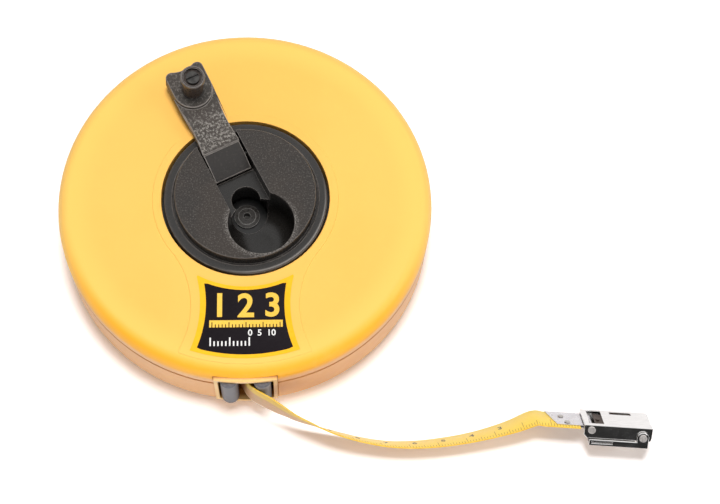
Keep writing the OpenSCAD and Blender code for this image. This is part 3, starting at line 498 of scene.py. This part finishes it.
# inside and deep: painted shade on the tape where it lies inside the mouth
tapeBase = {"threadScale": 30, "threadStretch": (0.3, 4, 1), "fuzzScale": 900, "fuzzAmount": 0.35,
            "wearScale": 500, "blotScale": 3, "blotStretch": (1, 2, 1), "rough": (0.32, 0.46),
            "depth": 0.02, "bump": 0.35, "inside": (-0.0650, -0.0626),
            "deep": (0.20, 0.04, 0.004)}


def tapeLook(size):
    # Coated glass fibre: long threads under a satin coat, printed marks from the edge; on the
    # back face painted shade over the lower part with a painted highlight along its edge, and
    # painted shade inside the mouth
    size = {**tapeBase, **size}
    look, tree, shader, spot = startLook(size["name"])
    place = add(tree, "ShaderNodeUVMap", uv_map="along").outputs[0]
    along, across = split(tree, place)[:2]
    thread = noise(tree, place, size["threadScale"], 3, 0.6, size["threadStretch"])
    fuzz = noise(tree, spot, size["fuzzScale"], 4, 0.6)
    colour = blendColour(tree, ease(tree, thread, 0.35, 0.65), size["colour"], size["shade"])
    colour = tint(tree, colour, size["light"], ease(tree, fuzz, 0.5, 0.75, 0, size["fuzzAmount"]))
    if "ink" in size:
        worn = ease(tree, noise(tree, spot, size["wearScale"], 4, 0.7), 0.3, 0.5, 0.55, 1.0)
        colour = tint(tree, colour, size["ink"], printedLines(tree, along, across, tapeLines),
                      worn, size["inkAmount"])
    # Painted shade over the back face's lower part, with a painted highlight along its lower edge
    if "bellyShade" in size:
        blot = noise(tree, place, size["blotScale"], 4, 0.7, size["blotStretch"])
        bellyShade = blendColour(tree, ease(tree, blot, 0.35, 0.65), size["bellyShade"], size["stain"])
        bellyShade = tint(tree, bellyShade, size["rim"], ease(tree, across, *size["rimBand"]))
        colour = tint(tree, colour, bellyShade, ease(tree, across, *size["bellyShadeBand"]))
    # Painted shade on the tape inside the mouth
    colour = shadeInside(tree, spot, colour, size)
    rough = ease(tree, fuzz, 0.3, 0.7, *size["rough"])
    finishLook(tree, shader, colour, rough, calc(tree, "ADD", thread, fuzz), size["depth"] * mm,
               size["bump"])
    return look


# Reach to each side of a line as a share of the spacing, and length as a share of the width
tapeLines = {"line": 0.13, "halfLine": 0.06, "wholeLine": 0.03, "short": 0.2,
             "halfMore": 0.11, "wholeMore": 0.16}
tapeFinishes = {
    "tape": {"name": "tapeYellow", "colour": (0.96, 0.69, 0.09), "shade": (0.94, 0.62, 0.07),
             "light": (0.97, 0.78, 0.22), "ink": (0.30, 0.13, 0.03), "inkAmount": 0.7},
    # Back face: the bellyShade and stain colours are painted shade over the lower part, the rim
    # colour a painted highlight along the lower edge
    "tapeBack": {"name": "tapeBack", "colour": (0.80, 0.52, 0.07), "shade": (0.70, 0.42, 0.05),
                 "light": (0.86, 0.66, 0.2), "bellyShade": (0.56, 0.33, 0.13),
                 "stain": (0.64, 0.31, 0.14), "rim": (0.84, 0.60, 0.44),
                 "bellyShadeBand": (0.3, 0.42), "rimBand": (0.9, 0.99)},
    "tapeEdge": {"name": "tapeEdge", "colour": (0.88, 0.55, 0.05), "shade": (0.78, 0.45, 0.03),
                 "light": (0.95, 0.68, 0.14)},
}
looks.update((key, tapeLook(size)) for key, size in tapeFinishes.items())


def addPiece(name, mesh, body, finish, stands=()):
    piece = bpy.data.objects.new(name, mesh)
    scene.collection.objects.link(piece)
    if len(mesh.materials):      # clearing none would forget which face has which finish
        mesh.materials.clear()
    for look in finish:
        mesh.materials.append(look)
    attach(piece, body)
    if stands:
        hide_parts(*stands)
    return piece


def toMesh(build, name):
    bmesh.ops.recalc_face_normals(build, faces=build.faces)
    mesh = bpy.data.meshes.new(name)
    build.to_mesh(mesh)
    build.free()
    return mesh


def evaluated(holder):
    # Plain mesh of what the modifiers or the text make
    return bpy.data.meshes.new_from_object(holder.evaluated_get(
        bpy.context.evaluated_depsgraph_get()))


tapeSides = {5: 0, 0: 1}      # printed face and back of the ring of points; the rest are edges


def makeTape(size, frames):
    w, h, edge = size["width"] * mm / 2, size["thickness"] * mm / 2, size["edge"] * mm
    ring = [(-w + edge, -h), (w - edge, -h), (w - edge / 4, -h + edge * 0.4), (w, 0),
            (w - edge / 4, h - edge * 0.4), (w - edge, h), (-w + edge, h),
            (-w + edge / 4, h - edge * 0.4), (-w, 0), (-w + edge / 4, -h + edge * 0.4)]
    count = len(ring)
    build = bmesh.new()
    place = build.loops.layers.uv.new("along")
    rows = [[build.verts.new(here + wide * a + thick * b) for a, b in ring]
            for here, wide, thick, gone in frames]
    total = frames[-1][3]
    for i in range(len(rows) - 1):
        for k in range(count):
            n = (k + 1) % count
            face = build.faces.new((rows[i][k], rows[i][n], rows[i + 1][n], rows[i + 1][k]))
            face.material_index = tapeSides.get(k, 2)
            face.smooth = True
            for loop, (row, side) in zip(face.loops, ((i, k), (i, n), (i + 1, n), (i + 1, k))):
                loop[place].uv = ((total - frames[row][3]) / cm,
                                  1 - (ring[side][0] + w) / (2 * w))
    build.faces.new(rows[0])
    build.faces.new(rows[-1])
    mesh = toMesh(build, "freeTape")
    mesh.set_sharp_from_angle(angle=radians(size["sharp"]))
    return addPiece("freeTape", mesh, "case", (looks["tape"], looks["tapeBack"],
                    looks["tapeEdge"]), ("tape_strip",))


frames = tapeFrames(tapeRoute)
freeTape = makeTape(tapeRoute, frames)


# Numbers printed along the tape, bent to its surface, one beside each centimetre line

tapeNumbers = {"height": 3.6, "middle": 0.6, "first": 3, "last": 14, "lift": 0.02, "thick": 0.02,
               "heavy": 0.06, "beside": 2.2}


def textMesh(words, height, thickness, heavy):
    data = bpy.data.curves.new("words", "FONT")
    data.body, data.size, data.offset = words, height * mm, heavy * mm
    data.align_x, data.align_y = "CENTER", "CENTER"
    data.extrude = thickness * mm / 2
    holder = bpy.data.objects.new("words", data)
    scene.collection.objects.link(holder)
    bpy.context.view_layer.update()
    mesh = evaluated(holder)
    bpy.data.objects.remove(holder)
    return mesh


def makeTapeNumbers(size, frames):
    total = frames[-1][3]
    half = tapeRoute["thickness"] * mm / 2 + size["lift"] * mm
    width = tapeRoute["width"] * mm

    def onTape(distance, across, rise):
        # Point of the printed face at this distance from the tape's end
        back = total - distance
        i = next((k for k in range(1, len(frames)) if frames[k][3] >= back), len(frames) - 1)
        a, b = frames[i - 1], frames[i]
        t = (back - a[3]) / (b[3] - a[3])
        return (a[0].lerp(b[0], t) + a[1].lerp(b[1], t) * across
                + a[2].lerp(b[2], t).normalized() * (half + rise))

    build = bmesh.new()
    for number in range(size["first"], size["last"] + 1):
        digits = textMesh(str(number), size["height"], size["thick"], size["heavy"])
        start = len(build.verts)
        build.from_mesh(digits)
        build.verts.ensure_lookup_table()
        for vert in build.verts[start:]:
            x, y = vert.co.x, vert.co.y
            vert.co = onTape(number * cm - size["beside"] * mm - x,
                             (0.5 - size["middle"]) * width - y, vert.co.z)
    mesh = toMesh(build, "tapeNumbers")
    return addPiece("tapeNumbers", mesh, "case", (looks["inkDark"],))


numbersOnTape = makeTapeNumbers(tapeNumbers, frames)


# Softened copies of the moulded and pressed parts: merged, flat faces joined, edges rounded

softening = {"merge": 3e-6, "flat": 0.5, "sharp": 32}      # metres, degrees, degrees


def softCopy(node, size):
    solid, mesh = nodes[node].data, bpy.data.meshes.new(size["name"])
    build = bmesh.new()
    build.from_mesh(solid)
    bmesh.ops.remove_doubles(build, verts=build.verts, dist=softening["merge"])
    if size.get("join", True):
        bmesh.ops.dissolve_limit(build, angle_limit=radians(softening["flat"]),
                                 verts=build.verts, edges=build.edges)
    for face in build.faces:
        face.smooth, face.material_index = True, 0
    build.to_mesh(mesh)
    build.free()
    finish = [looks[look] for look in size["finish"]]
    piece = addPiece(size["name"], mesh, bodyOf[node], finish, (node,))
    sharp = radians(softening["sharp"])
    edges = piece.modifiers.new("edges", "BEVEL")
    edges.width, edges.segments = size["soften"] * mm, size.get("steps", 2)
    edges.limit_method, edges.angle_limit = "ANGLE", sharp
    edges.use_clamp_overlap = False
    edges.material = 1 if len(finish) > 1 else 0      # edges paler from rubbing and painted highlight have their own finish
    even = piece.modifiers.new("even", "WEIGHTED_NORMAL")
    even.keep_sharp = True
    mesh.set_sharp_from_angle(angle=sharp)
    plain = evaluated(piece)
    piece.modifiers.clear()
    # Rounded corners stay inside the box of the part they are made from
    box = [(min(side), max(side)) for side in zip(*(vert.co for vert in solid.vertices))]
    for vert in plain.vertices:
        vert.co = [min(max(at, low), high) for at, (low, high) in zip(vert.co, box)]
    piece.data = plain
    return piece


softParts = {
    "rear_case": {"name": "rearCase", "finish": ["case"], "soften": 0.15},
    "front_case": {"name": "frontCase", "finish": ["case"], "soften": 0.14, "join": False},
    "winding_disc": {"name": "windingDisc", "finish": ["disc", "discEdgeRubAndHighlight"], "soften": 0.18},
    "crank_arm": {"name": "crankArm", "finish": ["arm", "armEdgeRubAndHighlight"], "soften": 0.3, "steps": 3},
    "crank_knob": {"name": "crankKnob", "finish": ["knob", "knobEdgeRubAndHighlight"], "soften": 0.12},
    "knob_screw": {"name": "knobScrew", "finish": ["darkScrew"], "soften": 0.1},
    "retaining_plug": {"name": "retainingPlug", "finish": ["plug", "plugEdgeRubAndHighlight"],
                       "soften": 0.12},
    "mouth_frame": {"name": "mouthFrame", "finish": ["frame"], "soften": 0.15},
    "guide_roller_left": {"name": "rollerLeft", "finish": ["roller"], "soften": 0.1},
    "guide_roller_right": {"name": "rollerRight", "finish": ["roller"], "soften": 0.1},
    "tip_plate": {"name": "tipPlate", "finish": ["tip"], "soften": 0.05},
    "tip_rivets": {"name": "tipRivets", "finish": ["rivet"], "soften": 0.08},
    "hook_body": {"name": "hookBody", "finish": ["chrome"], "soften": 0.22},
    "hook_claw": {"name": "hookClaw", "finish": ["chrome"], "soften": 0.18, "join": False},
    "hook_pin": {"name": "hookPin", "finish": ["pin"], "soften": 0.1},
    "claw_pin": {"name": "clawPin", "finish": ["pin"], "soften": 0.1},
    "claw_spring": {"name": "clawSpring", "finish": ["spring"], "soften": 0.05},
}
for node, size in softParts.items():
    softCopy(node, size)

plainParts = {"case_screws": "screw", "label_plate": "gold", "roller_pins": "pin",
              "thrust_washer": "washer", "reel_hub": "reel", "reel_flange": "reel",
              "tape_anchor_pin": "pin", "disc_screws": "screw", "crank_hinge_pin": "darkScrew"}
for node, look in plainParts.items():
    mesh = nodes[node].data
    for i in range(len(mesh.materials)):
        mesh.materials[i] = looks[look]

print("parts softened and dressed")


# Geometry Nodes helpers: a tree with named inputs, run once and turned into a plain mesh

def startTree(name, inputs):
    tree = bpy.data.node_groups.new(name, "GeometryNodeTree")
    tree.interface.new_socket("Geometry", in_out="OUTPUT", socket_type="NodeSocketGeometry")
    for key, value in inputs.items():
        kind = "NodeSocketInt" if isinstance(value, int) else "NodeSocketFloat"
        if isinstance(value, bpy.types.Material):
            kind = "NodeSocketMaterial"
        tree.interface.new_socket(key, in_out="INPUT", socket_type=kind)
    return tree, tree.nodes.new("NodeGroupInput").outputs


def endTree(tree, source, geometry):
    real = add(tree, "GeometryNodeRealizeInstances", {0: geometry})
    look = add(tree, "GeometryNodeSetMaterial", {0: real.outputs[0], 2: source["Finish"]})
    tree.links.new(look.outputs[0], tree.nodes.new("NodeGroupOutput").inputs[0])


def runTree(tree, name, inputs):
    holder = bpy.data.objects.new(name, bpy.data.meshes.new(name))
    scene.collection.objects.link(holder)
    modifier = holder.modifiers.new(name, "NODES")
    modifier.node_group = tree
    for item in tree.interface.items_tree:
        if item.in_out == "INPUT":
            modifier[item.identifier] = inputs[item.name]
    bpy.context.view_layer.update()
    mesh = evaluated(holder)
    bpy.data.objects.remove(holder)
    return mesh


# Wound tape: one long spiral from the hub to the outermost turn

woundTape = {"Turns": 75.6, "Inner Radius": 27.3 * mm, "Outer Radius": 57.0 * mm,
             "Tape Width": 12 * mm, "Tape Thickness": 0.36 * mm, "Steps": 46,
             "Finish": looks["tape"]}


def makeWoundTape(inputs):
    tree, source = startTree("windTape", inputs)
    spiral = add(tree, "GeometryNodeCurveSpiral", {"Resolution": source["Steps"],
                 "Rotations": source["Turns"], "Start Radius": source["Inner Radius"],
                 "End Radius": source["Outer Radius"], "Height": 0.0})
    section = add(tree, "GeometryNodeCurvePrimitiveQuadrilateral",
                  {"Width": source["Tape Thickness"], "Height": source["Tape Width"]})
    strip = add(tree, "GeometryNodeCurveToMesh", {0: spiral.outputs[0],
                "Profile Curve": section.outputs[0], "Fill Caps": True})
    endTree(tree, source, strip.outputs[0])
    return runTree(tree, "woundTape", inputs)


mesh = makeWoundTape(woundTape)
low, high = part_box("tape_coil")
mesh.transform(Matrix.Translation((0, 0, (low.z + high.z) / 2)))
addPiece("woundTape", mesh, "reel", (looks["tapeBack"],), ("tape_coil",))
print("wound tape,", len(mesh.polygons), "faces")


# Label: black field with hollow sides, a drawn piece of scale and plain figures, in millimetres

labelSize = {"waist": 13.2, "waistY": -39.5, "sideRadius": 42, "sideStart": 164, "sideTurn": 42,
             "sideSteps": 60, "endSteps": 24, "top": 34.4, "foot": 57.2, "thickness": 0.06,
             "sunk": 0.05}


def labelOutline(size):
    def turned(angle, radius):
        return Vector((cos(angle), sin(angle))) * radius

    side = Vector((size["waist"] + size["sideRadius"], size["waistY"]))
    edge = []
    for i in range(size["sideSteps"] + 1):
        angle = radians(size["sideStart"] + size["sideTurn"] * i / size["sideSteps"])
        point = side + turned(angle, size["sideRadius"])
        if size["top"] < point.length < size["foot"]:
            edge.append(point)
    topAngle = atan2(edge[0].y, edge[0].x)
    footAngle = atan2(edge[-1].y, edge[-1].x)
    steps = [i / size["endSteps"] for i in range(1, size["endSteps"])]
    foot = [turned(footAngle - (pi + 2 * footAngle) * t, size["foot"]) for t in steps]
    top = [turned(-pi - topAngle + (pi + 2 * topAngle) * t, size["top"]) for t in steps]
    left = [Vector((-point.x, point.y)) for point in reversed(edge)]
    return edge + foot + left + top


def slab(outline, low, high):
    build = bmesh.new()
    floor = [build.verts.new((x * mm, y * mm, low * mm)) for x, y in outline]
    roof = [build.verts.new((x * mm, y * mm, high * mm)) for x, y in outline]
    build.faces.new(reversed(floor))
    build.faces.new(roof)
    for i in range(len(outline)):
        n = (i + 1) % len(outline)
        build.faces.new((floor[i], floor[n], roof[n], roof[i]))
    return toMesh(build, "slab")


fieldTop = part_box("label_plate")[1].z + labelSize["thickness"] * mm


def onLabel(name, mesh, look, x=0, y=0, rise=0):
    mesh.transform(Matrix.Translation((x * mm, y * mm, fieldTop + rise * mm)))
    addPiece(name, mesh, "case", (looks[look],))


field = slab(labelOutline(labelSize), -labelSize["thickness"] - labelSize["sunk"], 0)
onLabel("labelField", field, "black")

scaleBar = {"centre": (0.3, -46.4), "width": 24.6, "height": 2.5, "rise": 0.02,
            "marksRise": 0.03}
x, y = scaleBar["centre"]
w, h = scaleBar["width"] / 2, scaleBar["height"] / 2
bar = slab([(x - w, y - h), (x + w, y - h), (x + w, y + h), (x - w, y + h)],
           -scaleBar["rise"], scaleBar["rise"])
onLabel("labelBar", bar, "inkGold")


def rowOfMarks(name, inputs):
    # Upright marks at even steps, every fifth one longer
    tree, source = startTree(name, inputs)
    line = add(tree, "GeometryNodeMeshLine", {"Count": source["Count"]},
               mode="OFFSET", count_mode="TOTAL")
    step = add(tree, "ShaderNodeCombineXYZ", {0: source["Step"]})
    tree.links.new(step.outputs[0], line.inputs["Offset"])
    index = add(tree, "GeometryNodeInputIndex").outputs[0]
    fifth = calc(tree, "LESS_THAN", calc(tree, "MODULO", index, 5.0), 0.5)
    tall = calc(tree, "ADD", 1.0, product(tree, fifth, source["Fifth Longer"]))
    size = add(tree, "ShaderNodeCombineXYZ", {0: source["Mark Width"],
               1: source["Mark Height"], 2: source["Mark Depth"]})
    block = add(tree, "GeometryNodeMeshCube", {"Size": size.outputs[0]})
    lift = add(tree, "ShaderNodeCombineXYZ", {1: product(tree, source["Mark Height"], 0.5)})
    moved = add(tree, "GeometryNodeTransform", {0: block.outputs[0],
                "Translation": lift.outputs[0]})
    stretch = add(tree, "ShaderNodeCombineXYZ", {0: 1.0, 1: tall, 2: 1.0})
    marks = add(tree, "GeometryNodeInstanceOnPoints", {0: line.outputs[0],
                "Instance": moved.outputs[0], "Scale": stretch.outputs[0]})
    endTree(tree, source, marks.outputs[0])
    return runTree(tree, name, inputs)


barMarks = {"Count": 21, "Step": 1.14 * mm, "Mark Width": 0.32 * mm, "Mark Height": 1.05 * mm,
            "Mark Depth": 0.02 * mm, "Fifth Longer": 0.7, "Finish": looks["black"]}
onLabel("barMarks", rowOfMarks("barMarks", barMarks), "black",
        x - (barMarks["Count"] - 1) / 2 * barMarks["Step"] / mm, y - h, scaleBar["marksRise"])

lowMarks = {"Count": 11, "Step": 1.3 * mm, "Mark Width": 0.5 * mm, "Mark Height": 1.7 * mm,
            "Mark Depth": 0.04 * mm, "Fifth Longer": 0.75, "Finish": looks["inkWhite"]}
lowMarksAt = (-11.6, -54.2, 0.02)
onLabel("lowMarks", rowOfMarks("lowMarks", lowMarks), "inkWhite", *lowMarksAt)

# Words, height, extra stroke weight, place and finish
figureSize = {"thick": 0.04, "rise": 0.02}
labelFigures = [("1", 11.6, 0.28, (-8.6, -40.2), "inkGold"),
                ("2", 11.6, 0.28, (0.2, -40.4), "inkGold"),
                ("3", 11.6, 0.28, (9.2, -40.2), "inkGold"),
                ("0  5  10", 3.0, 0.06, (5.6, -49.7), "inkWhite")]
for number, (words, height, heavy, (x, y), look) in enumerate(labelFigures):
    figure = textMesh(words, height, figureSize["thick"], heavy)
    onLabel("labelFigure" + str(number), figure, look, x, y, figureSize["rise"])
print("label made")


# Floor and soft studio light: a lamp overhead, two weaker ones, and a sky that is dark low down

floorSize = {"paper": (0.82, 0.86, 0.90), "seen": (1.08, 1.08, 1.10), "glow": (0.15, 0.08, 0.03),
             "far": (1.0, 1.0, 1.0), "farBand": (0.16, 0.5), "mottle": 0.99, "mottleScale": 60,
             "level": -0.00005, "reach": 6}
lamps = {"overhead": {"power": 6.6, "size": (0.19, 0.19), "place": (0.02, 0.02, 0.87),
                      "gleams": False},
         "side": {"power": 0.9, "size": (0.3, 0.3), "place": (0.60, -0.16, 0.60),
                  "gleams": True},
         "front": {"power": 3.4, "size": (1.5, 0.3), "place": (0.05, -0.9, 0.2),
                   "gleams": False}}
lampAim = (0.02, -0.02, 0.0)
skyLight = {"high": 1.05, "low": 0.03, "behind": 0.3, "even": 0.24, "band": (0.15, 0.85)}


def makeFloor(size):
    reach, level = size["reach"], size["level"]
    mesh = bpy.data.meshes.new("floor")
    mesh.from_pydata([(-reach, -reach, level), (reach, -reach, level),
                      (reach, reach, level), (-reach, reach, level)], [], [(0, 1, 2, 3)])
    look, tree, shader, spot = startLook("floorWhite")
    tree.nodes.remove(shader)
    path = add(tree, "ShaderNodeLightPath").outputs
    seen = calc(tree, "MAXIMUM", path["Is Camera Ray"],
                calc(tree, "MAXIMUM", path["Is Glossy Ray"], path["Is Transmission Ray"]))
    paper = noise(tree, spot, size["mottleScale"], 3)
    colour = blendColour(tree, ease(tree, paper, 0.3, 0.7), size["paper"],
                         [value * size["mottle"] for value in size["paper"]])
    colour = tint(tree, colour, size["seen"], path["Is Camera Ray"])
    matt = add(tree, "ShaderNodeBsdfDiffuse", {"Color": colour})
    away = add(tree, "ShaderNodeVectorMath", {0: spot}, operation="LENGTH").outputs[1]
    glowing = blendColour(tree, ease(tree, away, *size["farBand"]), size["glow"], size["far"])
    glow = add(tree, "ShaderNodeEmission", {"Color": glowing, "Strength": seen})
    both = add(tree, "ShaderNodeAddShader", {0: matt.outputs[0], 1: glow.outputs[0]})
    tree.links.new(both.outputs[0], tree.nodes["Material Output"].inputs["Surface"])
    mesh.materials.append(look)
    floor = bpy.data.objects.new("floor", mesh)
    scene.collection.objects.link(floor)


def makeLamp(name, size):
    data = bpy.data.lights.new(name, "AREA")
    data.energy, data.shape = size["power"], "RECTANGLE"
    data.size, data.size_y = size["size"]
    lamp = bpy.data.objects.new(name, data)
    lamp.location = size["place"]
    lamp.rotation_mode = "QUATERNION"
    lamp.rotation_quaternion = (Vector(lampAim) - Vector(size["place"])).to_track_quat("-Z", "Y")
    lamp.visible_glossy = size["gleams"]
    scene.collection.objects.link(lamp)


def makeSky(size):
    # Brighter high up and behind; even light for gloss, white for what the camera sees
    world = bpy.data.worlds.new("studio")
    scene.world = world
    world.use_nodes = True
    tree = world.node_tree
    y, z = split(tree, add(tree, "ShaderNodeTexCoord").outputs["Generated"])[1:]
    level = calc(tree, "ADD", z, product(tree, y, size["behind"]))
    light = ease(tree, level, *size["band"], size["low"], size["high"])
    path = add(tree, "ShaderNodeLightPath").outputs
    light = add(tree, "ShaderNodeMix", {0: path["Is Glossy Ray"], 2: size["even"],
                3: light}).outputs[0]
    seen = calc(tree, "MAXIMUM", path["Is Camera Ray"], path["Is Transmission Ray"])
    strength = calc(tree, "ADD", light, product(tree, seen, calc(tree, "SUBTRACT", 1.0, light)))
    tree.links.new(strength, tree.nodes["Background"].inputs["Strength"])
    tree.nodes["Background"].inputs["Color"].default_value = (1, 1, 1, 1)


makeFloor(floorSize)
makeSky(skyLight)
for name, size in lamps.items():
    makeLamp(name + "Lamp", size)
print("studio lit")
